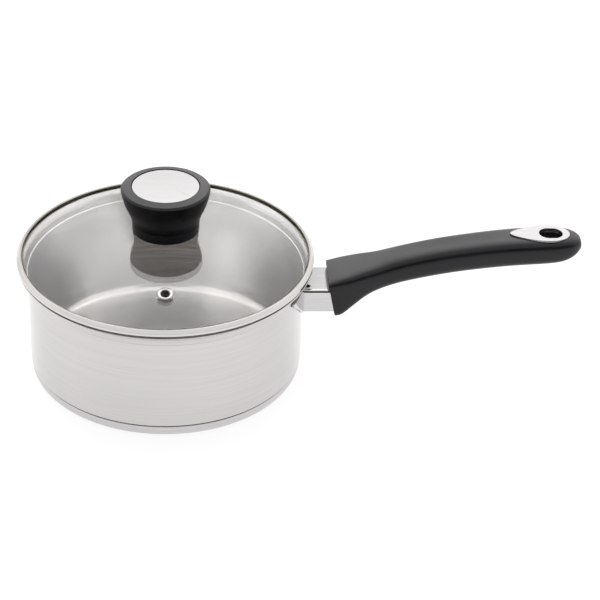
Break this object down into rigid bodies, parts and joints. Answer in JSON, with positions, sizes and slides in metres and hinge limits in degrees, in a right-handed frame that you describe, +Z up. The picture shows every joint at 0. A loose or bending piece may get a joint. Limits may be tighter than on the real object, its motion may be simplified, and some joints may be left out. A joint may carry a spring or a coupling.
{
  "type": "saucepan with glass lid",
  "caption": "Stainless saucepan with a domed glass lid, black knob and a long black handle; the lid lifts off straight up.",
  "frame": {"origin": "centre of the base's underside, on the surface that the pan stands on", "axes": "+Z up through the knob, +X along the handle, -Y towards the lid's vent"},
  "size_m": [0.331, 0.1732, 0.1208],
  "materials": {
    "pan_steel": "polished outside, circular brushing inside",
    "base_steel": "satin",
    "base_aluminium": "plain",
    "bracket_steel": "polished",
    "band_steel": "polished",
    "polished_steel": "bright",
    "knob_ring_plastic": "satin",
    "inlay_steel": "fine satin",
    "fastener_steel": "plain",
    "insert_brass": "plain",
    "black_phenolic": "fine matt",
    "seal_silicone": "matt",
    "lid_glass": "clear"
  },
  "bodies": {
    "root": {"pan_body": "pan_steel", "base_cap": "base_steel", "base_core": "base_aluminium", "handle_bracket": "bracket_steel", "handle_tang": "fastener_steel", "handle_nut": "fastener_steel", "handle_screw": "fastener_steel", "handle_grip": "black_phenolic", "handle_inlay": "inlay_steel"},
    "lid": {"lid_glass": "lid_glass", "lid_band": "band_steel", "vent_eyelet": "polished_steel", "vent_washer": "polished_steel", "knob_body": "black_phenolic", "knob_base_ring": "knob_ring_plastic", "knob_disc": "inlay_steel", "knob_insert": "insert_brass", "knob_screw": "fastener_steel", "knob_washer": "fastener_steel", "knob_seal_top": "seal_silicone", "knob_seal_bottom": "seal_silicone"}
  },
  "joints": [
    {"name": "lid_lift", "type": "slide", "parent": "root", "child": "lid", "axis": [0, 0, 1], "range_m": [0, 0.12]}
  ]
}
